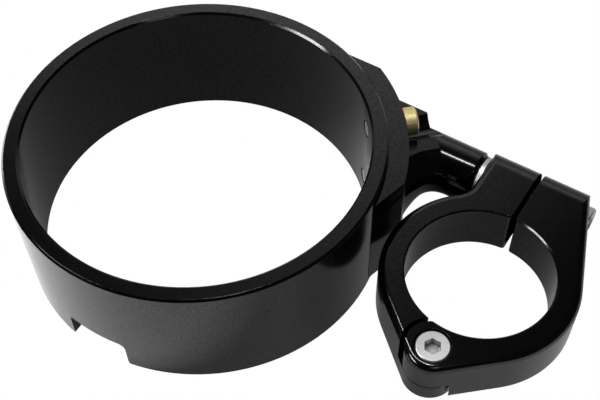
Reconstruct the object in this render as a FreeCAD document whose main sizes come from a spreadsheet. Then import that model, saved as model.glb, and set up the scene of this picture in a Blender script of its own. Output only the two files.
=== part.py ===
import FreeCAD, Part
import math
import os

import Sketcher

# Speedometer mount: a gauge ring on an arm, held to a fork tube by a hinged clamp.
# Origin at the middle of the fork bore, +Z along the fork, +X along the clamp screw towards
# its head, +Y from the bore to the clamp's ears. Lengths in millimetres, angles in degrees.
# Ring, arm and clamp share the mid-plane z = 0.

SIZES = [
    ("fork_radius", 19.5, "clamp bore, for a 39 mm fork tube"),
    ("clamp_radius", 26.2, "outside of the clamp's round part"),
    ("clamp_height", 14.4, "height of the clamp, and of the arm's block"),
    ("clamp_round", 2.1, "rounding of the clamp's upper outer edges"),
    ("bore_edge", 0.4, "chamfer on the fork bore's upper edge"),
    ("hinge_distance", 25.6, "fork axis to hinge axis"),
    ("knuckle_radius", 7.05, "hinge knuckles"),
    ("upper_relief", 1.2, "gap round the gate's knuckle"),
    ("lower_relief", 0.8, "gap round the fixed half's knuckle"),
    ("lap_height", 5.4, "lower knuckle, up from the clamp's underside"),
    ("lap_gap", 0.4, "gap between the two knuckles"),
    ("slit_width", 1.4, "slit between the ears"),
    ("slit_shift", 0.3, "slit's middle, to the left of the fork axis"),
    ("slit_round", 0.9, "rounding where the slit opens into the bore"),
    ("bolt_distance", 33.3, "fork axis to clamp screw axis"),
    ("ear_back", 41.0, "fork axis to the ears' round back"),
    ("ear_reach", 14.7, "fork axis to the left ear's outer face"),
    ("ear_blend", 6.0, "hollow between left ear and round part"),
    ("ear_slant", 20.4, "slant of the right ear's outer face"),
    ("gauge_radius", 47.35, "gauge bore"),
    ("ring_wall", 4.6, "wall of the gauge ring"),
    ("ring_height", 37.4, "height of the gauge ring"),
    ("ring_outer_edge", 0.6, "chamfer on the ring's upper outer edge"),
    ("ring_inner_edge", 0.6, "chamfer on the ring's upper inner edge"),
    ("ring_lower_edge", 0.25, "chamfer on the ring's lower edges"),
    ("notch_azimuth", -89.4, "middle of the wire notch"),
    ("notch_width", 18.4, "wire notch"),
    ("notch_depth", 9.7, "wire notch, up from the ring's lower edge"),
    ("notch_corner", 2.0, "rounding of the notch's inner corners"),
    ("notch_mouth", 1.2, "rounding of the notch's outer corners"),
    ("screw_azimuth", 43.8, "direction of the ring screws, from the ring's axis"),
    ("screw_edge", 8.2, "ring's rim to the nearer ring screw"),
    ("pad_thickness", 5.4, "arm's pad, outwards from the ring"),
    ("pad_step", 2.2, "ring's rim to the pad's edge"),
    ("pad_front", 17.5, "azimuth of the pad's front edge"),
    ("pad_front_face", -15.0, "azimuth that the pad's front end faces"),
    ("pad_fit", 0.02, "gap between pad and ring"),
    ("arm_back", 40.7, "fork axis to the arm's flat back"),
    ("arm_x", -34.18, "middle of the block's outer face, from the fork axis"),
    ("arm_y", 37.09, "middle of the block's outer face, from the fork axis"),
    ("block_depth", 9.15, "arm's block, outwards from the pad"),
    ("block_front", 12.2, "screw axis to the block's front face"),
    ("block_blend", 8.8, "hollow between block and pad"),
    ("block_land", 0.2, "hollow's floor, outwards from the pad"),
    ("block_edge_round", 3.8, "rounding of the block's upper front edge"),
    ("relief_radius", 5.5, "round relief for a ring screw's head"),
    ("seat_depth", 0.4, "flat seat of a ring screw, into the pad"),
    ("barrel_radius", 6.75, "arm's barrel"),
    ("barrel_edge", 0.9, "chamfer on the barrel's end"),
    ("barrel_thread_depth", 14.0, "tapped hole in the barrel"),
    ("spacer_radius", 6.0, "washer between barrel and ear"),
    ("spacer_thickness", 1.7, "washer between barrel and ear"),
    ("clamp_thread", 3.0, "clamp screw's shank"),
    ("clamp_screw_length", 40.0, "clamp screw under its head"),
    ("clamp_head_radius", 5.0, "clamp screw's head"),
    ("clamp_head_height", 6.0, "clamp screw's head"),
    ("clamp_socket", 5.0, "clamp screw's hexagon, across flats"),
    ("clamp_seat", 10.6, "fork axis to the clamp screw's seat"),
    ("screw_clearance", 0.5, "gap round a shank and round the clamp screw's head"),
    ("hinge_thread", 2.5, "hinge screw's shank"),
    ("hinge_head_radius", 4.6, "hinge screw's head"),
    ("hinge_head_height", 4.2, "hinge screw's head"),
    ("hinge_socket", 4.0, "hinge screw's hexagon, across flats"),
    ("hinge_head_gap", 0.25, "gap round the hinge screw's head"),
    ("hinge_head_sink", 0.2, "hinge screw's head, below the clamp's top"),
    ("hinge_tail", 0.4, "hinge screw's tip, above the clamp's underside"),
    ("hinge_play", 0.05, "running gap in the hinge"),
    ("ring_thread", 2.5, "ring screws' shank"),
    ("ring_head_radius", 4.0, "ring screws' heads"),
    ("ring_head_height", 4.6, "ring screws' heads"),
    ("ring_socket", 3.9, "ring screws' hexagons, across flats"),
    ("ring_screw_sink", 0.15, "ring screws' tips, behind the gauge bore's wall"),
    ("thread_play", 0.02, "gap in a thread"),
    ("head_edge", 0.4, "chamfer on a screw head"),
    ("socket_share", 0.6, "depth of a hexagon, as a share of its head"),
]

doc = FreeCAD.newDocument("speedometer_mount")
sheet = doc.addObject("Spreadsheet::Sheet", "sizes")
for row, (alias, number, note) in enumerate(SIZES, start=1):
    sheet.set("A%d" % row, alias)
    sheet.set("B%d" % row, str(number))
    sheet.set("C%d" % row, note)
    sheet.setAlias("B%d" % row, alias)
doc.recompute()

Y_AXIS = FreeCAD.Vector(0, 1, 0)
Z_AXIS = FreeCAD.Vector(0, 0, 1)
FAR = "200"


def words(text):
    """Write the sheet's name before each alias in an expression."""
    for alias in sorted((entry[0] for entry in SIZES), key=len, reverse=True):
        text = text.replace("@" + alias, "sizes." + alias)
    return text


def number(text):
    return float(sheet.evalExpression(words(text)))


def new_body(label):
    body = doc.addObject("PartDesign::Body", label)
    body.Label = label
    return body


def origin_plane(body, role):
    return next(item for item in body.Origin.OriginFeatures if item.Role == role)


def new_sketch(body, name, role, offset="0", turn="0"):
    """Sketch on one of the body's planes, moved along its normal and turned about its height."""
    sketch = body.newObject("Sketcher::SketchObject", name)
    sketch.AttachmentSupport = [(origin_plane(body, role), "")]
    sketch.MapMode = "FlatFace"
    turned = FreeCAD.Rotation(Y_AXIS, number(turn))
    sketch.AttachmentOffset = FreeCAD.Placement(FreeCAD.Vector(), turned)
    sketch.setExpression("AttachmentOffset.Base.z", words(offset))
    if turn != "0":
        sketch.setExpression("AttachmentOffset.Rotation.Angle", words(turn))
    return sketch


def pin(sketch, element, end, x, y):
    """Fix a point of a sketch at two expressions."""
    for kind, text in (("DistanceX", x), ("DistanceY", y)):
        index = sketch.addConstraint(Sketcher.Constraint(kind, element, end, number(text)))
        sketch.setExpression("Constraints[%d]" % index, words(text))


def outline(sketch, corners):
    """Closed outline. A corner is (x, y), or (x, y, radius, (x, y)) where an arc through the
    second point leads to the next corner."""
    points = [FreeCAD.Vector(number(corner[0]), number(corner[1]), 0) for corner in corners]
    ends = []
    for index, corner in enumerate(corners):
        start, stop = points[index], points[(index + 1) % len(points)]
        if len(corner) == 2:
            element = sketch.addGeometry(Part.LineSegment(start, stop), False)
        else:
            middle = FreeCAD.Vector(number(corner[3][0]), number(corner[3][1]), 0)
            element = sketch.addGeometry(Part.Arc(start, middle, stop), False)
            rule = sketch.addConstraint(Sketcher.Constraint("Radius", element, number(corner[2])))
            sketch.setExpression("Constraints[%d]" % rule, words(corner[2]))
        gaps = [sketch.getPoint(element, end).distanceToPoint(start) for end in (1, 2)]
        ends.append((element, 1, 2) if gaps[0] < gaps[1] else (element, 2, 1))
    for index, corner in enumerate(corners):
        element, first, last = ends[index]
        following, entry, unused = ends[(index + 1) % len(ends)]
        sketch.addConstraint(Sketcher.Constraint("Coincident", element, last, following, entry))
        pin(sketch, element, first, corner[0], corner[1])


def circle(sketch, x, y, radius):
    centre = FreeCAD.Vector(number(x), number(y), 0)
    element = sketch.addGeometry(Part.Circle(centre, Z_AXIS, number(radius)), False)
    pin(sketch, element, 3, x, y)
    rule = sketch.addConstraint(Sketcher.Constraint("Radius", element, number(radius)))
    sketch.setExpression("Constraints[%d]" % rule, words(radius))


def pad(body, sketch, length, both=False):
    feature = body.newObject("PartDesign::Pad", sketch.Name + "_pad")
    feature.Profile = sketch
    feature.SideType = "Symmetric" if both else "One side"
    feature.setExpression("Length", words(length))
    return feature


def pocket(body, sketch, forward=False, both=False):
    """Cut right through, against the sketch's normal, along it, or both ways."""
    feature = body.newObject("PartDesign::Pocket", sketch.Name + "_cut")
    feature.Profile = sketch
    feature.Type = "Length"
    feature.SideType = "Symmetric" if both else "One side"
    feature.Reversed = forward
    feature.setExpression("Length", words(FAR))
    return feature


def revolve(body, sketch, kind, axis):
    feature = body.newObject("PartDesign::" + kind, sketch.Name + "_turn")
    feature.Profile = sketch
    feature.ReferenceAxis = axis
    feature.Angle = 360
    return feature


def soften(body, kind, size, chosen):
    """Fillet or chamfer those edges of the body's last feature that a test chooses."""
    doc.recompute()
    base = body.Tip
    names = ["Edge%d" % (index + 1) for index, edge in enumerate(base.Shape.Edges) if chosen(edge)]
    name = "%s_%s%d" % (body.Name, kind.lower(), len(body.Group))
    feature = body.newObject("PartDesign::" + kind, name)
    feature.Base = (base, names)
    feature.setExpression("Radius" if kind == "Fillet" else "Size", words(size))
    return feature


def place(body, x="0", y="0", z="0", axis=Z_AXIS, angle="0"):
    body.Placement = FreeCAD.Placement(FreeCAD.Vector(), FreeCAD.Rotation(axis, number(angle)))
    for direction, text in (("x", x), ("y", y), ("z", z)):
        body.setExpression("Placement.Base." + direction, words(text))
    if angle != "0":
        body.setExpression("Placement.Rotation.Angle", words(angle))


def flat_at(edge, height):
    """True for an edge that lies in the plane z = height."""
    return all(abs(point.z - height) < 1e-4 for point in edge.discretize(5))


# Places that follow from the sizes

RING_RADIUS = "(@gauge_radius + @ring_wall)"
BLOCK_REACH = "(%s + @pad_thickness + @block_depth)" % RING_RADIUS
RING_X = "(@arm_x - %s * cos(@screw_azimuth))" % BLOCK_REACH
RING_Y = "(@arm_y - %s * sin(@screw_azimuth))" % BLOCK_REACH
SCREW_LEVEL = "(@ring_height / 2 - @screw_edge)"

# Fork clamp

HULL_SINE = "((@clamp_radius - @knuckle_radius) / @hinge_distance)"
HULL_COSINE = "sqrt(1 - %s * %s)" % (HULL_SINE, HULL_SINE)
EAR_CENTRE = "(@ear_back - @clamp_height / 2)"
BLEND_X = "(-@ear_reach - @ear_blend)"
BLEND_Y = "sqrt((@clamp_radius + @ear_blend)^2 - (@ear_reach + @ear_blend)^2)"
BLEND_SHARE = "(@clamp_radius / (@clamp_radius + @ear_blend))"
SLANT_X = "((@clamp_radius - @ear_back * sin(@ear_slant)) / cos(@ear_slant))"
HALF_HEIGHT = "(@clamp_height / 2)"
LAP_PLANE = "(@lap_height - @clamp_height / 2)"


def clamp_blank(body):
    """The whole clamp before it is parted: round part, hinge knuckle and ears."""
    plan = new_sketch(body, body.Name + "_plan", "XY_Plane")
    reach = ("@clamp_radius * cos(@ear_slant)", "@clamp_radius * sin(@ear_slant)")
    right = ("@clamp_radius * " + HULL_COSINE, "-@clamp_radius * " + HULL_SINE)
    knuckle = ("@knuckle_radius * " + HULL_COSINE, "-@hinge_distance - @knuckle_radius * " + HULL_SINE)
    blend = (BLEND_X + " * " + BLEND_SHARE, BLEND_Y + " * " + BLEND_SHARE)
    outline(plan, [
        (SLANT_X, "@ear_back"),
        (reach[0], reach[1], "@clamp_radius", ("@clamp_radius", "0")),
        right,
        (knuckle[0], knuckle[1], "@knuckle_radius", ("0", "-@hinge_distance - @knuckle_radius")),
        ("-" + knuckle[0], knuckle[1]),
        ("-" + right[0], right[1], "@clamp_radius", ("-@clamp_radius", "0")),
        (blend[0], blend[1], "@ear_blend",
         (BLEND_X + " + @ear_blend * cos(30)", BLEND_Y + " - @ear_blend * sin(30)")),
        ("-@ear_reach", BLEND_Y),
        ("-@ear_reach", "@ear_back"),
    ])
    pad(body, plan, "@clamp_height", both=True)
    height, back_end = number(HALF_HEIGHT), number("@ear_back")

    def upper_outline(edge):
        points = edge.discretize(5)
        at_back = all(abs(p.y - back_end) < 1e-4 for p in points)
        return flat_at(edge, height) and not at_back

    soften(body, "Fillet", "@clamp_round", upper_outline)
    back = new_sketch(body, body.Name + "_ear_back", "YZ_Plane")
    margin = "(@ear_back + @clamp_height)"
    eighth = "(%s + %s * cos(45))" % (EAR_CENTRE, HALF_HEIGHT)
    outline(back, [
        (EAR_CENTRE, HALF_HEIGHT, HALF_HEIGHT, (eighth, HALF_HEIGHT + " * cos(45)")),
        ("@ear_back", "0", HALF_HEIGHT, (eighth, "-%s * cos(45)" % HALF_HEIGHT)),
        (EAR_CENTRE, "-" + HALF_HEIGHT),
        (EAR_CENTRE, "-@clamp_height"),
        (margin, "-@clamp_height"),
        (margin, "@clamp_height"),
        (EAR_CENTRE, "@clamp_height"),
    ])
    pocket(body, back, both=True)
    bore = new_sketch(body, body.Name + "_bore", "XY_Plane")
    circle(bore, "0", "0", "@fork_radius")
    pocket(body, bore, both=True)
    radius = number("@fork_radius")

    def bore_edge(edge):
        round_bore = all(abs(math.hypot(p.x, p.y) - radius) < 1e-4 for p in edge.discretize(5))
        return round_bore and flat_at(edge, height)

    soften(body, "Chamfer", "@bore_edge", bore_edge)


def part_clamp(body, side, lap_upwards):
    """Keep one side of the slit and one knuckle, and clear the other half's knuckle."""
    slit = "(%s@slit_width / 2 - @slit_shift)" % ("-" if side < 0 else "")
    far = "%s100" % ("" if side < 0 else "-")
    rise = "sqrt(@knuckle_radius^2 - %s^2)" % slit
    away = new_sketch(body, body.Name + "_slit", "XY_Plane")
    outline(away, [
        (slit, "100"),
        (slit, "-@hinge_distance + " + rise, "@knuckle_radius",
         ("%s@knuckle_radius" % ("" if side < 0 else "-"), "-@hinge_distance")),
        (slit, "-@hinge_distance - " + rise),
        (slit, "-100"),
        (far, "-100"),
        (far, "100"),
    ])
    pocket(body, away, both=True)
    mouth_x = number(slit)
    mouth_y = number("sqrt(@fork_radius^2 - %s^2)" % slit)

    def slit_mouth(edge):
        return all(abs(p.x - mouth_x) < 1e-4 and abs(p.y - mouth_y) < 1e-4 for p in edge.discretize(5))

    soften(body, "Fillet", "@slit_round", slit_mouth)
    level = LAP_PLANE + (" - @lap_gap / 2" if lap_upwards else " + @lap_gap / 2")
    lap = new_sketch(body, body.Name + "_lap", "XY_Plane", level)
    room = "@upper_relief" if lap_upwards else "@lower_relief"
    circle(lap, "0", "-@hinge_distance", "@knuckle_radius + " + room)
    pocket(body, lap, forward=lap_upwards)


def drill_ear(body):
    hole = new_sketch(body, body.Name + "_screw_hole", "YZ_Plane")
    circle(hole, "@bolt_distance", "0", "@clamp_thread + @screw_clearance")
    pocket(body, hole, both=True)


clamp_half = new_body("clamp_half")
clamp_blank(clamp_half)
part_clamp(clamp_half, -1, True)
drill_ear(clamp_half)
tapped = new_sketch(clamp_half, "hinge_tapping", "XY_Plane")
circle(tapped, "0", "-@hinge_distance", "@hinge_thread + @thread_play")
pocket(clamp_half, tapped, both=True)

clamp_gate = new_body("clamp_gate")
clamp_blank(clamp_gate)
part_clamp(clamp_gate, 1, False)
drill_ear(clamp_gate)
head_room = new_sketch(clamp_gate, "clamp_head_room", "YZ_Plane", "@clamp_seat")
circle(head_room, "@bolt_distance", "0", "@clamp_head_radius + @screw_clearance")
pocket(clamp_gate, head_room, forward=True)
running = new_sketch(clamp_gate, "hinge_running_hole", "XY_Plane")
circle(running, "0", "-@hinge_distance", "@hinge_thread + @hinge_play")
pocket(clamp_gate, running, both=True)
HINGE_SEAT = "(@clamp_height / 2 - @hinge_head_sink - @hinge_head_height)"
sunk = new_sketch(clamp_gate, "hinge_head_room", "XY_Plane", HINGE_SEAT)
circle(sunk, "0", "-@hinge_distance", "@hinge_head_radius + @hinge_head_gap")
pocket(clamp_gate, sunk, forward=True)

# Gauge ring, turned so that its own x axis points at the ring screws

gauge_ring = new_body("gauge_ring")
section = new_sketch(gauge_ring, "ring_section", "XZ_Plane")
RING_TOP = "@ring_height / 2"
outline(section, [
    ("@gauge_radius", "-%s + @ring_lower_edge" % RING_TOP),
    ("@gauge_radius + @ring_lower_edge", "-" + RING_TOP),
    (RING_RADIUS + " - @ring_lower_edge", "-" + RING_TOP),
    (RING_RADIUS, "-%s + @ring_lower_edge" % RING_TOP),
    (RING_RADIUS, "%s - @ring_outer_edge" % RING_TOP),
    (RING_RADIUS + " - @ring_outer_edge", RING_TOP),
    ("@gauge_radius + @ring_inner_edge", RING_TOP),
    ("@gauge_radius", "%s - @ring_inner_edge" % RING_TOP),
])
revolve(gauge_ring, section, "Revolution", (section, ["V_Axis"]))
notch = new_sketch(gauge_ring, "wire_notch", "XZ_Plane", turn="@notch_azimuth + 90 - @screw_azimuth")
NOTCH_TOP = "(@notch_depth - @ring_height / 2)"
BELOW = "-@ring_height"
DIAGONAL = "cos(45)"
MOUTH_Y = "(@notch_mouth - @ring_height / 2)"


def notch_side(sign, arc_first):
    """Corners of one side of the notch, from the mouth up or from the top down."""
    inner = (sign + "(@notch_width / 2 - @notch_corner)", NOTCH_TOP)
    upper = (sign + "(@notch_width / 2)", NOTCH_TOP + " - @notch_corner")
    lower = (sign + "(@notch_width / 2)", MOUTH_Y)
    mouth = (sign + "(@notch_width / 2 + @notch_mouth)", "-@ring_height / 2")
    corner = ("@notch_corner",
              (sign + "(@notch_width / 2 - @notch_corner + @notch_corner * %s)" % DIAGONAL,
               NOTCH_TOP + " - @notch_corner + @notch_corner * %s" % DIAGONAL))
    lip = ("@notch_mouth",
           (sign + "(@notch_width / 2 + @notch_mouth - @notch_mouth * %s)" % DIAGONAL,
            "-@ring_height / 2 + @notch_mouth - @notch_mouth * %s" % DIAGONAL))
    below = (mouth[0], BELOW)
    if arc_first:
        return [inner + corner, upper, lower + lip, mouth, below]
    return [below, mouth + lip, lower, upper + corner, inner]


outline(notch, notch_side("-", False) + notch_side("", True))
pocket(gauge_ring, notch, forward=True)
tapping = new_sketch(gauge_ring, "ring_tapping", "YZ_Plane")
for sign in ("", "-"):
    circle(tapping, "0", sign + SCREW_LEVEL, "@ring_thread + @thread_play")
pocket(gauge_ring, tapping, forward=True)
place(gauge_ring, RING_X, RING_Y, angle="@screw_azimuth")

# Arm, in the ring's frame: x along the ring screws, y towards the arm's back

PAD_INNER = "(%s + @pad_fit)" % RING_RADIUS
PAD_OUTER = "(%s + @pad_thickness)" % RING_RADIUS
BACK_OFFSET = "(@arm_back - %s)" % RING_Y
FRONT_TURN = "(@screw_azimuth - @pad_front_face)"
FRONT_OFFSET = "(%s * cos(@pad_front - @pad_front_face))" % PAD_OUTER
BARREL_END = "(-@ear_reach - @spacer_thickness)"
BARREL_ROOT = "(@arm_x - @barrel_radius)"


def in_arm(x, y):
    """A place in the main frame, seen from the arm's own axes."""
    east, north = "((%s) - %s)" % (x, RING_X), "((%s) - %s)" % (y, RING_Y)
    along = "(%s * cos(@screw_azimuth) + %s * sin(@screw_azimuth))" % (east, north)
    across = "(%s * cos(@screw_azimuth) - %s * sin(@screw_azimuth))" % (north, east)
    return (along, across)


def on_back(radius):
    """Where the arm's flat back crosses a circle about the ring's axis."""
    east = "(%s + sqrt((%s)^2 - %s^2))" % (RING_X, radius, BACK_OFFSET)
    return in_arm(east, "@arm_back")


def on_front(radius):
    """Where the pad's front end crosses a circle about the ring's axis."""
    rise = "sqrt((%s)^2 - %s^2)" % (radius, FRONT_OFFSET)
    return ("(%s * cos(%s) + %s * sin(%s))" % (FRONT_OFFSET, FRONT_TURN, rise, FRONT_TURN),
            "(%s * cos(%s) - %s * sin(%s))" % (rise, FRONT_TURN, FRONT_OFFSET, FRONT_TURN))


mount_arm = new_body("mount_arm")
saddle = new_sketch(mount_arm, "saddle", "XY_Plane")
outline(saddle, [
    on_front(PAD_INNER),
    on_front(PAD_OUTER) + (PAD_OUTER, (PAD_OUTER, "0")),
    on_back(PAD_OUTER),
    on_back(PAD_INNER) + (PAD_INNER, (PAD_INNER, "0")),
])
pad(mount_arm, saddle, "@ring_height - 2 * @pad_step", both=True)

block = new_sketch(mount_arm, "block", "XY_Plane")
FRONT_SIDE = "-@block_front"
ROOT = "((%s + %s) / 2)" % (PAD_INNER, PAD_OUTER)
BLEND_RADIUS = "(%s + @block_land + @block_blend)" % PAD_OUTER
BLEND_ACROSS = "(-@block_front - @block_blend)"
BLEND_ALONG = "sqrt(%s^2 - %s^2)" % (BLEND_RADIUS, BLEND_ACROSS)
LAND_SHARE = "((%s + @block_land) / %s)" % (PAD_OUTER, BLEND_RADIUS)
ROOT_SHARE = "(%s / %s)" % (ROOT, BLEND_RADIUS)
BLOCK_BACK = "((@arm_back - @arm_y) / cos(@screw_azimuth))"
outline(block, [
    (BLOCK_REACH, FRONT_SIDE),
    (BLOCK_REACH, BLOCK_BACK),
    on_back(ROOT) + (ROOT, (ROOT, "0")),
    (BLEND_ALONG + " * " + ROOT_SHARE, BLEND_ACROSS + " * " + ROOT_SHARE),
    (BLEND_ALONG + " * " + LAND_SHARE, BLEND_ACROSS + " * " + LAND_SHARE, "@block_blend",
     (BLEND_ALONG + " - @block_blend * cos(40)", BLEND_ACROSS + " + @block_blend * sin(40)")),
    (BLEND_ALONG, FRONT_SIDE),
])
pad(mount_arm, block, "@clamp_height", both=True)
half, front_face = number(HALF_HEIGHT), number(FRONT_SIDE)


def block_front_edge(edge):
    points = edge.discretize(5)
    return flat_at(edge, half) and all(abs(p.y - front_face) < 1e-4 for p in points)


soften(mount_arm, "Fillet", "@block_edge_round", block_front_edge)
barrel = new_sketch(mount_arm, "barrel", "XY_Plane")
outline(barrel, [
    in_arm(BARREL_ROOT, "@bolt_distance"),
    in_arm(BARREL_END, "@bolt_distance"),
    in_arm(BARREL_END, "@bolt_distance + @barrel_radius - @barrel_edge"),
    in_arm(BARREL_END + " - @barrel_edge", "@bolt_distance + @barrel_radius"),
    in_arm(BARREL_ROOT, "@bolt_distance + @barrel_radius"),
])
revolve(mount_arm, barrel, "Revolution", (barrel, ["Edge1"]))

relief = new_sketch(mount_arm, "head_relief", "YZ_Plane", PAD_OUTER + " - @seat_depth")
through = new_sketch(mount_arm, "screw_holes", "YZ_Plane")
for sign in ("", "-"):
    circle(relief, "0", sign + SCREW_LEVEL, "@relief_radius")
    circle(through, "0", sign + SCREW_LEVEL, "@ring_thread + @screw_clearance")
pocket(mount_arm, relief, forward=True)
pocket(mount_arm, through, forward=True)
thread = new_sketch(mount_arm, "barrel_thread", "XY_Plane")
THREAD_END = BARREL_END + " - @barrel_thread_depth"
outline(thread, [
    in_arm(THREAD_END, "@bolt_distance"),
    in_arm(BARREL_END, "@bolt_distance"),
    in_arm(BARREL_END, "@bolt_distance + @clamp_thread + @thread_play"),
    in_arm(THREAD_END, "@bolt_distance + @clamp_thread + @thread_play"),
])
revolve(mount_arm, thread, "Groove", (thread, ["Edge1"]))
place(mount_arm, RING_X, RING_Y, angle="@screw_azimuth")

# Screws, each drawn upright with its head's seat at its own z = 0


def socket_screw(label, radius, length, head_radius, head_height, socket):
    body = new_body(label)
    side = new_sketch(body, label + "_side", "XZ_Plane")
    outline(side, [
        ("0", "-" + length),
        (radius + " - @head_edge", "-" + length),
        (radius, "-%s + @head_edge" % length),
        (radius, "0"),
        (head_radius, "0"),
        (head_radius, head_height + " - @head_edge"),
        (head_radius + " - @head_edge", head_height),
        ("0", head_height),
    ])
    revolve(body, side, "Revolution", (side, ["V_Axis"]))
    hexagon = new_sketch(body, label + "_hexagon", "XY_Plane", head_height + " * (1 - @socket_share)")
    corner = "(%s / sqrt(3))" % socket
    turns = range(0, 360, 60)
    outline(hexagon, [("%s * cos(%d)" % (corner, turn), "%s * sin(%d)" % (corner, turn)) for turn in turns])
    pocket(body, hexagon, forward=True)
    return body


hinge_screw = socket_screw(
    "hinge_screw", "@hinge_thread", "(%s + @clamp_height / 2 - @hinge_tail)" % HINGE_SEAT,
    "@hinge_head_radius", "@hinge_head_height", "@hinge_socket")
place(hinge_screw, "0", "-@hinge_distance", HINGE_SEAT)

clamp_screw = socket_screw(
    "clamp_screw", "@clamp_thread", "@clamp_screw_length",
    "@clamp_head_radius", "@clamp_head_height", "@clamp_socket")
place(clamp_screw, "@clamp_seat", "@bolt_distance", axis=Y_AXIS, angle="90")

SEAT_RADIUS = "(%s - @seat_depth)" % PAD_OUTER
for label, sign in (("ring_screw_upper", ""), ("ring_screw_lower", "-")):
    screw = socket_screw(
        label, "@ring_thread", "(%s - @gauge_radius - @ring_screw_sink)" % SEAT_RADIUS,
        "@ring_head_radius", "@ring_head_height", "@ring_socket")
    east = "%s + %s * cos(@screw_azimuth)" % (RING_X, SEAT_RADIUS)
    north = "%s + %s * sin(@screw_azimuth)" % (RING_Y, SEAT_RADIUS)
    base = "vector(%s; %s; %s)" % (east, north, sign + SCREW_LEVEL)
    turned = "rotation(vector(-sin(@screw_azimuth); cos(@screw_azimuth); 0); 90)"
    screw.setExpression("Placement", words("placement(%s; %s)" % (base, turned)))

spacer_washer = new_body("spacer_washer")
washer = new_sketch(spacer_washer, "washer_face", "YZ_Plane")
circle(washer, "@bolt_distance", "0", "@spacer_radius")
circle(washer, "@bolt_distance", "0", "@clamp_thread + @screw_clearance")
pad(spacer_washer, washer, "@spacer_thickness")
place(spacer_washer, BARREL_END)

# Checks, then one file for each piece

doc.recompute()
PIECES = [item for item in doc.Objects if item.isDerivedFrom("PartDesign::Body")]
for item in doc.Objects:
    if "Invalid" in item.State or "Error" in item.State:
        raise RuntimeError("%s failed: %s" % (item.Name, item.State))
for piece in PIECES:
    if piece.Shape.isNull() or not piece.Shape.isValid():
        raise RuntimeError("%s has no valid shape" % piece.Label)
os.makedirs("parts", exist_ok=True)
for piece in PIECES:
    piece.Shape.exportStep("parts/%s.step" % piece.Label)
    print("%s: %d solid, %.1f mm3" % (piece.Label, len(piece.Shape.Solids), piece.Shape.Volume))
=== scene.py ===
import math

import bmesh
import bpy
import numpy as np
from mathutils import Euler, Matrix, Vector


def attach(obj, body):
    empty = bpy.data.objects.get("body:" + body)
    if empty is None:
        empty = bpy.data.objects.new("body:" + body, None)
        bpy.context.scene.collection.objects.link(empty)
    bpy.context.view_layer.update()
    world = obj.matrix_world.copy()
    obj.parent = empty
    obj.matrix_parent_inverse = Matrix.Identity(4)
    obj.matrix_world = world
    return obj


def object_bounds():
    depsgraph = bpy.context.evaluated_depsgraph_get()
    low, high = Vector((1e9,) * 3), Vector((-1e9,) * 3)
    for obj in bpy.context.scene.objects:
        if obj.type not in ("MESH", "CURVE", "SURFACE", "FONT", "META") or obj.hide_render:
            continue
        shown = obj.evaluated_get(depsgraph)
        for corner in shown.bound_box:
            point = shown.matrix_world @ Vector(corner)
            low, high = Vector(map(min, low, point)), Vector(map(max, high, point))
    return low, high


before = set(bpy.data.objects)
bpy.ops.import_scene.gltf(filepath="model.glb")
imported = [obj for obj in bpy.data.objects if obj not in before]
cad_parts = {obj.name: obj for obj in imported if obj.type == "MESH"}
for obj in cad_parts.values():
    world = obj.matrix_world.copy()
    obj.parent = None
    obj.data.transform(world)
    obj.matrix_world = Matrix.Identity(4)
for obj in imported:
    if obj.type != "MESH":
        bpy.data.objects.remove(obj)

cad_box = [list(corner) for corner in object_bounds()]
scene = bpy.context.scene
scene.view_settings.view_transform = "Standard"


# Nodes

def put(tree, socket, value):
    """Link an input to another node's output, or set it to a plain value."""
    if isinstance(value, bpy.types.NodeSocket):
        tree.links.new(value, socket)
    else:
        socket.default_value = value


def add(tree, kind, *values, **named):
    """New node, with properties and inputs given by name and other inputs given in order."""
    node = tree.nodes.new(kind)
    for key, value in named.items():
        if key in node.inputs:
            put(tree, node.inputs[key], value)
        else:
            setattr(node, key, value)
    for socket, value in zip(node.inputs, values):
        put(tree, socket, value)
    return node


def calc(tree, operation, *values):
    """Result of one step of arithmetic on outputs and plain numbers."""
    return add(tree, "ShaderNodeMath", *values, operation=operation).outputs["Value"]


def remap(tree, value, span, result, interpolation="LINEAR"):
    """A value's span carried over to the span of the result, and held at its ends."""
    node = add(tree, "ShaderNodeMapRange", value, *span, *result, interpolation_type=interpolation)
    return node.outputs["Result"]


def dot(tree, vector, direction):
    """Place along a direction."""
    node = add(tree, "ShaderNodeVectorMath", vector, direction, operation="DOT_PRODUCT")
    return node.outputs["Value"]


def mixed(tree, kind, share, first, second):
    """Two colours or two numbers, mixed by the second one's share."""
    node = add(tree, "ShaderNodeMix", data_type=kind, Factor=share, A=first, B=second)
    return node.outputs["Result"]


def new_material(name):
    """Empty node material, its tree and its output."""
    material = bpy.data.materials.new(name)
    material.use_nodes = True
    tree = material.node_tree
    tree.nodes.clear()
    return material, tree, tree.nodes.new("ShaderNodeOutputMaterial")


def object_place(tree):
    """Place in the part's frame, in metres, because the nodes' objects sit at its origin."""
    return add(tree, "ShaderNodeTexCoord").outputs["Object"]


def shader_input(material, name):
    """The material's tree, one input of its shader, and the output that feeds it."""
    tree = material.node_tree
    shader = next(node for node in tree.nodes if node.type == "BSDF_PRINCIPLED")
    socket = shader.inputs[name]
    return tree, socket, socket.links[0].from_socket


# Materials

NOISE_SPAN = (0.3, 0.7)         # what most of a noise's values lie between
SLOW_SCALE = 55.0               # slow changes of gloss
SPECK_SCALE = 1900.0            # speckle in the gloss
SPECULAR = 0.5                  # middle of that speckle, the shader's own level
TONES = (0.8, 1.2)              # darkest and lightest grain, as shares of the colour
BUMP_DEPTH = 0.00005
EDGE_SAMPLES = 6
PAINT_FADE = 0.0001             # width of the change from one colour to the other
DULLEST = 0.1                   # share of the gloss that is left at the bottom


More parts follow.
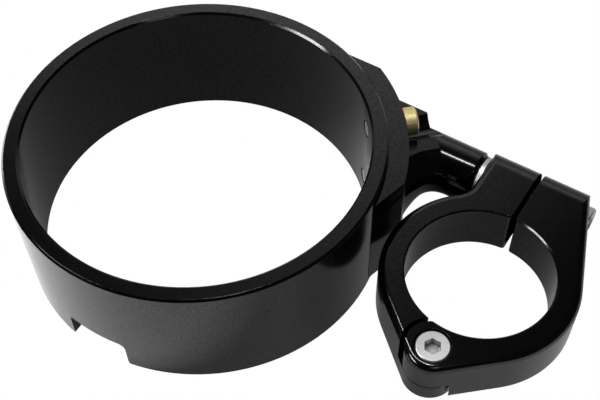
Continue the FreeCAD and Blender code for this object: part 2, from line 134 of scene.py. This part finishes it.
def metal(name, color, metallic, roughness, spread, grain, bump, edge, speck=0.0, shade=0.0):
    """A machined surface: fine blasted grain, slow changes of gloss, softened edges, and painted
    shade in corners when shade is given.
    """
    material, tree, output = new_material(name)
    shader = add(tree, "ShaderNodeBsdfPrincipled", Metallic=metallic)
    place = object_place(tree)

    def noise(scale, detail):
        node = add(tree, "ShaderNodeTexNoise", Vector=place, Scale=scale, Detail=detail)
        return node.outputs["Fac"]

    dullness = remap(tree, noise(SLOW_SCALE, detail=3.0), NOISE_SPAN,
                     (roughness - spread, roughness + spread))
    put(tree, shader.inputs["Roughness"], dullness)
    fine = noise(grain, detail=2.0)
    dark, light = ([share * part for part in color] + [1.0] for share in TONES)
    tone = mixed(tree, "RGBA", fine, dark, light)
    if shade:
        # Painted shade: the colour is darkened by ambient occlusion in the socket and other
        # corners
        tone = add(tree, "ShaderNodeAmbientOcclusion", Color=tone, Distance=shade).outputs["Color"]
    put(tree, shader.inputs["Base Color"], tone)
    if speck:
        levels = (SPECULAR * (1.0 - speck), SPECULAR * (1.0 + speck))
        level = remap(tree, noise(SPECK_SCALE, detail=1.0), NOISE_SPAN, levels)
        put(tree, shader.inputs["Specular IOR Level"], level)
    soft = add(tree, "ShaderNodeBevel", Radius=edge, samples=EDGE_SAMPLES)
    relief = add(tree, "ShaderNodeBump", Strength=bump, Distance=BUMP_DEPTH, Height=fine,
                 Normal=soft.outputs["Normal"])
    put(tree, shader.inputs["Normal"], relief.outputs["Normal"])
    put(tree, output.inputs["Surface"], shader.outputs["BSDF"])
    return material


def paint_before(material, direction, limit, color):
    """Another colour where the place along a direction is below a limit."""
    tree, socket, tone = shader_input(material, "Base Color")
    along = dot(tree, object_place(tree), direction)
    share = remap(tree, along, (limit - PAINT_FADE, limit), (1.0, 0.0))
    put(tree, socket, mixed(tree, "RGBA", share, tone, (*color, 1.0)))


def matte_slit(material, low, high, start):
    """No gloss on the sawn faces between two places along X, from a place along Y onwards."""
    tree, socket, gloss = shader_input(material, "Specular IOR Level")
    parts = add(tree, "ShaderNodeSeparateXYZ", object_place(tree)).outputs
    across = calc(tree, "MULTIPLY", calc(tree, "GREATER_THAN", parts["X"], low),
                  calc(tree, "LESS_THAN", parts["X"], high))
    sawn = calc(tree, "MULTIPLY", across, calc(tree, "GREATER_THAN", parts["Y"], start))
    put(tree, socket, mixed(tree, "FLOAT", sawn, gloss, 0.0))


def dull_below(material, low, high):
    """Gloss that fades downwards between two heights."""
    tree, socket, gloss = shader_input(material, "Specular IOR Level")
    parts = add(tree, "ShaderNodeSeparateXYZ", object_place(tree)).outputs
    share = remap(tree, parts["Z"], (low, high), (DULLEST, 1.0))
    put(tree, socket, calc(tree, "MULTIPLY", gloss, share))


# Places in the part's frame, in metres
ALONG_SCREW = (1.0, 0.0, 0.0)
CLAMP_SEAT = 0.0105                     # painted shade: the clamp screw is dark before its head's seat
WASHER_EDGE = -0.0158                   # painted shade: the washer is dark before this, beside the barrel
SLIT = (-0.00102, 0.00042, 0.0188)      # X just past the slit's two walls, and Y of its start
RING_SCREW_TURN = math.radians(43.8)
RING_SCREW = (math.cos(RING_SCREW_TURN), math.sin(RING_SCREW_TURN), 0.0)
RING_SCREW_TIP = -0.0175                # the ring screws' tips are plain steel before this
ROUND_DULL = (-0.002, 0.003)            # heights between which the arm's round front dulls

SHADOW = (0.01, 0.01, 0.01)
SCREW_STEEL = (0.70, 0.70, 0.69)
BLACK = {
    "color": (0.0015, 0.0015, 0.0016), "metallic": 0.0, "roughness": 0.13, "spread": 0.02,
    "grain": 4200.0, "bump": 0.1, "edge": 0.00015, "speck": 0.28,
}
STEEL = {"metallic": 1.0, "spread": 0.06, "grain": 2600.0, "bump": 0.15, "edge": 0.0002}

black = metal("black_anodised", **BLACK)
round_black = metal("round_anodised", **BLACK)
dull_below(round_black, *ROUND_DULL)
clamp_black = metal("clamp_anodised", **BLACK)
matte_slit(clamp_black, *SLIT)
# The hinge screw's steel gets painted shade in its socket and corners
bright = metal("bright_steel", (0.80, 0.80, 0.79), roughness=0.40, shade=0.0022, **STEEL)
screw = metal("screw_steel", SCREW_STEEL, roughness=0.45, **STEEL)
# Painted shade on the clamp screw's shank, which lies inside the clamp
paint_before(screw, ALONG_SCREW, CLAMP_SEAT, SHADOW)
washer = metal("washer_steel", SCREW_STEEL, roughness=0.45, **STEEL)
# Painted shade on the washer's edge beside the barrel
paint_before(washer, ALONG_SCREW, WASHER_EDGE, SHADOW)
yellow = metal("yellow_zinc", (0.98, 0.84, 0.42), roughness=0.50, **STEEL)
paint_before(yellow, RING_SCREW, RING_SCREW_TIP, (0.62, 0.62, 0.61))

FINISH = {
    "gauge_ring": black, "mount_arm": black,
    "clamp_half": clamp_black, "clamp_gate": clamp_black,
    "hinge_screw": bright, "clamp_screw": screw, "spacer_washer": washer,
    "ring_screw_upper": yellow, "ring_screw_lower": yellow,
}
for node, material in FINISH.items():
    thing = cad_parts[node]
    thing.data.materials.clear()
    thing.data.materials.append(material)


# Rounded front of the arm's block, carried on under the barrel, in millimetres

PER_METRE = 1000.0
HOLLOW_AXIS = (-22.21, 19.46)
BARREL_END = -16.5
ELBOW_BOTTOM = -7.15
ELBOW_BACK = 1.0                # from the end of the round to the bar's back, inside the block
ELBOW_STEPS = 75
ELBOW_SMOOTHING = 40            # passes over each column of the table
ROUND_POINTS = 25
# Azimuth about the hollow's axis, radius of the front, depth of the round and top
ELBOW = [
    (238.0, 11.4, 3.0, 6.9), (222.0, 8.3, 5.0, 7.1),
    (205.0, 6.6, 6.0, 7.15), (180.0, 5.6, 7.0, 7.15),
    (150.0, 5.4, 7.1, 7.15), (125.0, 5.5, 6.6, 6.0),
    (108.0, 5.8, 5.4, 3.5), (90.0, 6.1, 4.5, 1.8),
]


def elbow(name, stations, material, body):
    """Half-round bar swept about the hollow's axis and then straight to the barrel's end."""
    table = np.array(stations)
    angles = np.linspace(table[0, 0], table[-1, 0], ELBOW_STEPS)
    columns = [np.interp(-angles, -table[:, 0], table[:, k]) for k in (1, 2, 3)]
    for column in columns:
        for _ in range(ELBOW_SMOOTHING):
            column[1:-1] = (column[:-2] + 2.0 * column[1:-1] + column[2:]) / 4.0
    round_angles = np.radians(np.linspace(-90.0, 90.0, ROUND_POINTS))
    sections = []
    for angle, front, depth, top in zip(np.radians(angles), *columns):
        middle, rise = (top + ELBOW_BOTTOM) / 2.0, (top - ELBOW_BOTTOM) / 2.0
        back = [front + depth + ELBOW_BACK]
        reach = np.concatenate([back, front + depth * (1.0 - np.cos(round_angles)), back])
        level = np.concatenate([[ELBOW_BOTTOM], middle + rise * np.sin(round_angles), [top]])
        across = HOLLOW_AXIS[0] + reach * np.cos(angle)
        along = HOLLOW_AXIS[1] + reach * np.sin(angle)
        sections.append(np.stack([across, along, level], axis=1))
    sections.append(sections[-1] + [BARREL_END - HOLLOW_AXIS[0], 0.0, 0.0])
    count = len(sections[0])
    points = np.concatenate(sections) / PER_METRE
    faces = []
    for k in range(len(sections) - 1):
        here, there = k * count, (k + 1) * count
        for j in range(count):
            n = (j + 1) % count
            faces.append([here + j, here + n, there + n, there + j])
    last = (len(sections) - 1) * count
    faces.append(list(range(count)))
    faces.append([last + j for j in range(count)])
    mesh = bpy.data.meshes.new(name)
    mesh.from_pydata(points.tolist(), [], faces)
    shell = bmesh.new()
    shell.from_mesh(mesh)
    bmesh.ops.recalc_face_normals(shell, faces=shell.faces)
    for face in shell.faces:
        face.smooth = len(face.verts) == 4      # all but the two ends
    shell.to_mesh(mesh)
    shell.free()
    thing = bpy.data.objects.new(name, mesh)
    scene.collection.objects.link(thing)
    mesh.materials.append(material)
    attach(thing, body)


elbow("arm_front_round", ELBOW, round_black, "arm")


# Floor

WHITE = (1.0, 1.0, 1.0, 1.0)
PALE = (0.8, 0.8, 0.8, 1.0)
FLOOR_SIZE = 6.0
FLOOR_GAP = 0.0002             # below the part, so that no two faces meet
FLOOR_IN_GLOSS = 0.16           # share of the white that reflections of the floor show


def white_stage(name):
    """White for the camera, a plain pale surface with the object's shadow for the rest."""
    material, tree, output = new_material(name)
    pale = add(tree, "ShaderNodeBsdfDiffuse", Color=PALE).outputs["BSDF"]
    glow = add(tree, "ShaderNodeEmission", Color=WHITE, Strength=1.0).outputs["Emission"]
    path = add(tree, "ShaderNodeLightPath").outputs
    seen = calc(tree, "MAXIMUM", path["Is Camera Ray"], path["Is Transmission Ray"])
    shown = calc(tree, "MULTIPLY_ADD", path["Is Glossy Ray"], FLOOR_IN_GLOSS, seen)
    mix = add(tree, "ShaderNodeMixShader", shown, pale, glow)
    put(tree, output.inputs["Surface"], mix.outputs["Shader"])
    return material


bpy.ops.mesh.primitive_plane_add(size=FLOOR_SIZE, location=(0.0, 0.0, cad_box[0][2] - FLOOR_GAP))
floor = bpy.context.object
floor.name = "floor"
floor.data.materials.append(white_stage("pale_floor"))


# Room: pale behind the object as the camera sees it, dark overhead and on the camera's side

ROOF = (0.62, 0.95)             # heights between which the pale part ends upwards
ROOF_HEADING = (-0.530, 0.848, 0.0)     # where it reaches highest
ROOF_FALL = 1.8                 # how fast it comes down to the sides
BACK_HEADING = (-0.55, 0.83, 0.0)
BACK_SPAN = (-0.1, 0.5)         # places along that heading between which it grows
BACK_LEVEL = 0.95
HORIZON = (0.30, 0.60)          # heights between which it grows
HORIZON_LEVEL = 0.35            # share of it that is left below them
ROOM_LEVEL = 0.02


def studio(name):
    """The room in reflections and as light, and white for the camera."""
    world = bpy.data.worlds.new(name)
    scene.world = world
    world.use_nodes = True
    tree = world.node_tree
    tree.nodes.clear()
    output = tree.nodes.new("ShaderNodeOutputWorld")
    around = add(tree, "ShaderNodeTexCoord").outputs["Generated"]
    z = add(tree, "ShaderNodeSeparateXYZ", around).outputs["Z"]
    flat = add(tree, "ShaderNodeVectorMath", around, (1.0, 1.0, 0.0), operation="MULTIPLY")
    heading = add(tree, "ShaderNodeVectorMath", flat.outputs["Vector"], operation="NORMALIZE")
    facing = dot(tree, heading.outputs["Vector"], ROOF_HEADING)
    lowered = calc(tree, "MULTIPLY_ADD", facing, -ROOF_FALL, ROOF_FALL)
    height = remap(tree, calc(tree, "ADD", z, lowered), ROOF, (1.0, 0.0), "SMOOTHSTEP")
    turn = dot(tree, around, BACK_HEADING)
    behind = remap(tree, turn, BACK_SPAN, (0.0, BACK_LEVEL), "SMOOTHSTEP")
    horizon = remap(tree, z, HORIZON, (HORIZON_LEVEL, 1.0), "SMOOTHSTEP")
    band = calc(tree, "MULTIPLY", height, horizon)
    level = calc(tree, "MULTIPLY_ADD", band, behind, ROOM_LEVEL)
    room = add(tree, "ShaderNodeBackground", Color=WHITE, Strength=level)
    white = add(tree, "ShaderNodeBackground", Color=WHITE, Strength=1.0)
    seen = add(tree, "ShaderNodeLightPath").outputs["Is Camera Ray"]
    mix = add(tree, "ShaderNodeMixShader", seen, room.outputs["Background"],
              white.outputs["Background"])
    put(tree, output.inputs["Surface"], mix.outputs["Shader"])


studio("studio")


# Lamps

LAMP_AIM = Vector((-0.045, -0.005, 0.0))
# Name, azimuth from +X, elevation, distance, width, depth and power
GLOSS_PANELS = [
    ("top_light", 180.0, 77.3, 0.60, 0.037, 0.46, 2.0),
    ("left_light", 228.0, 35.0, 0.40, 0.20, 0.07, 0.9),
    ("front_light", 318.0, 50.0, 0.50, 0.12, 0.06, 0.10),
]
FLOOR_PANELS = [
    ("side_light", 192.0, 22.0, 0.38, 0.14, 0.14, 2.7),
    ("right_light", 350.0, 20.0, 0.24, 0.10, 0.10, 0.28),
]


def lamp(name, azimuth, elevation, distance, width, depth, power):
    """Soft panel that faces the object, at an azimuth from +X and an elevation."""
    light = bpy.data.lights.new(name, "AREA")
    light.shape = "RECTANGLE"
    light.size = width
    light.size_y = depth
    light.energy = power
    thing = bpy.data.objects.new(name, light)
    scene.collection.objects.link(thing)
    a, e = math.radians(azimuth), math.radians(elevation)
    away = Vector((math.cos(a) * math.cos(e), math.sin(a) * math.cos(e), math.sin(e)))
    thing.location = LAMP_AIM + away * distance
    thing.rotation_euler = away.to_track_quat("Z", "Y").to_euler()
    thing.visible_camera = False
    return thing


# Panels seen in the gloss, and panels that light the floor from both sides
for panel in GLOSS_PANELS:
    lamp(*panel).visible_diffuse = False
for panel in FLOOR_PANELS:
    lamp(*panel).visible_glossy = False


# Camera at the photo's view

SENSOR = 36.0
PICTURE_WIDTH = 600.0           # pixels
FOCAL_LENGTH = 1072.61          # pixels
EYE = (0.044669, -0.151854, 0.237920)
EYE_TURN = (33.390, 1.552, 32.7375)

camera = bpy.data.cameras.new("camera")
camera.sensor_fit = "HORIZONTAL"
camera.sensor_width = SENSOR
camera.lens = SENSOR * FOCAL_LENGTH / PICTURE_WIDTH
camera.shift_x = 0.0289
camera.shift_y = 0.1231
camera.clip_start = 0.01
eye = bpy.data.objects.new("camera", camera)
scene.collection.objects.link(eye)
eye.location = EYE
eye.rotation_euler = Euler([math.radians(turn) for turn in EYE_TURN], "XYZ")
scene.camera = eye
